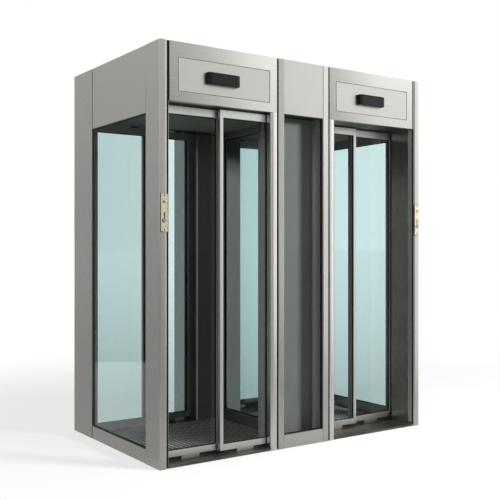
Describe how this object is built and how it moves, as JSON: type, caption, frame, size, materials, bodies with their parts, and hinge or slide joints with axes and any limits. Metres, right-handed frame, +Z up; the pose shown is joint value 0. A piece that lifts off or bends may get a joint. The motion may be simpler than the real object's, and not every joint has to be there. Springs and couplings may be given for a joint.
{
  "type": "double security airlock portal",
  "caption": "Free-standing security airlock portal: glazed walk-through cabins side by side under one metal head, with telescopic sliding glass doors at front and rear.",
  "frame": {"origin": "on the floor under the middle of the portal", "axes": "+Z up, +X to the right along the front, +Y from the front to the rear"},
  "size_m": [2, 1.256, 2.35],
  "materials": {
    "post_metal": "satin-ground stainless steel",
    "jamb_metal": "finely ground, bright",
    "panel_metal": "satin-ground stainless steel",
    "leaf_metal": "satin anodised",
    "glass": "clear laminated, green tint at depth",
    "gasket": "matt black",
    "sensor_plastic": "fine-textured black",
    "track_metal": "dark, worn satin",
    "floor_covering": "raised diamond pattern",
    "ceiling_paint": "satin light grey",
    "plate_paint": "satin beige",
    "switch_metal": "turned, satin"
  },
  "bodies": {
    "frame": {"corner_post_front_left": "post_metal", "corner_post_front_right": "post_metal", "corner_post_rear_left": "post_metal", "corner_post_rear_right": "post_metal", "centre_posts": "post_metal", "jamb_bars": "jamb_metal", "front_door_headers": "panel_metal", "rear_door_headers": "panel_metal", "centre_headers": "panel_metal", "header_hatches": "panel_metal", "side_headers": "panel_metal", "side_sills": "panel_metal", "kick_panels": "panel_metal", "pocket_covers": "panel_metal", "partition_frame": "panel_metal", "roof": "panel_metal", "side_glass": "glass", "centre_bay_glass": "glass", "partition_glass": "glass", "glazing_gaskets": "gasket", "motion_sensors": "sensor_plastic", "thresholds": "track_metal", "track_beams": "track_metal", "pocket_dividers": "track_metal", "cabin_floors": "floor_covering", "ceiling": "ceiling_paint", "lock_plates": "plate_paint", "key_switches": "switch_metal"},
    "front_left_inner": {"front_left_inner_leaf": "leaf_metal", "front_left_inner_glass": "glass"},
    "front_left_outer": {"front_left_outer_leaf": "leaf_metal", "front_left_outer_glass": "glass"},
    "front_right_inner": {"front_right_inner_leaf": "leaf_metal", "front_right_inner_glass": "glass"},
    "front_right_outer": {"front_right_outer_leaf": "leaf_metal", "front_right_outer_glass": "glass"},
    "rear_left_inner": {"rear_left_inner_leaf": "leaf_metal", "rear_left_inner_glass": "glass"},
    "rear_left_outer": {"rear_left_outer_leaf": "leaf_metal", "rear_left_outer_glass": "glass"},
    "rear_right_inner": {"rear_right_inner_leaf": "leaf_metal", "rear_right_inner_glass": "glass"},
    "rear_right_outer": {"rear_right_outer_leaf": "leaf_metal", "rear_right_outer_glass": "glass"}
  },
  "joints": [
    {"name": "front_left_inner_slide", "type": "slide", "parent": "frame", "child": "front_left_inner", "axis": [1, 0, 0], "range_m": [0, 0.348]},
    {"name": "front_left_outer_slide", "type": "slide", "parent": "frame", "child": "front_left_outer", "axis": [1, 0, 0], "range_m": [0, 0.696]},
    {"name": "front_right_inner_slide", "type": "slide", "parent": "frame", "child": "front_right_inner", "axis": [-1, 0, 0], "range_m": [0, 0.348]},
    {"name": "front_right_outer_slide", "type": "slide", "parent": "frame", "child": "front_right_outer", "axis": [-1, 0, 0], "range_m": [0, 0.696]},
    {"name": "rear_left_inner_slide", "type": "slide", "parent": "frame", "child": "rear_left_inner", "axis": [1, 0, 0], "range_m": [0, 0.348]},
    {"name": "rear_left_outer_slide", "type": "slide", "parent": "frame", "child": "rear_left_outer", "axis": [1, 0, 0], "range_m": [0, 0.696]},
    {"name": "rear_right_inner_slide", "type": "slide", "parent": "frame", "child": "rear_right_inner", "axis": [-1, 0, 0], "range_m": [0, 0.348]},
    {"name": "rear_right_outer_slide", "type": "slide", "parent": "frame", "child": "rear_right_outer", "axis": [-1, 0, 0], "range_m": [0, 0.696]}
  ],
  "couplings": [
    {"joint": "front_left_outer_slide", "follows": "front_left_inner_slide", "ratio": 2},
    {"joint": "front_right_outer_slide", "follows": "front_right_inner_slide", "ratio": 2},
    {"joint": "rear_left_outer_slide", "follows": "rear_left_inner_slide", "ratio": 2},
    {"joint": "rear_right_outer_slide", "follows": "rear_right_inner_slide", "ratio": 2}
  ]
}
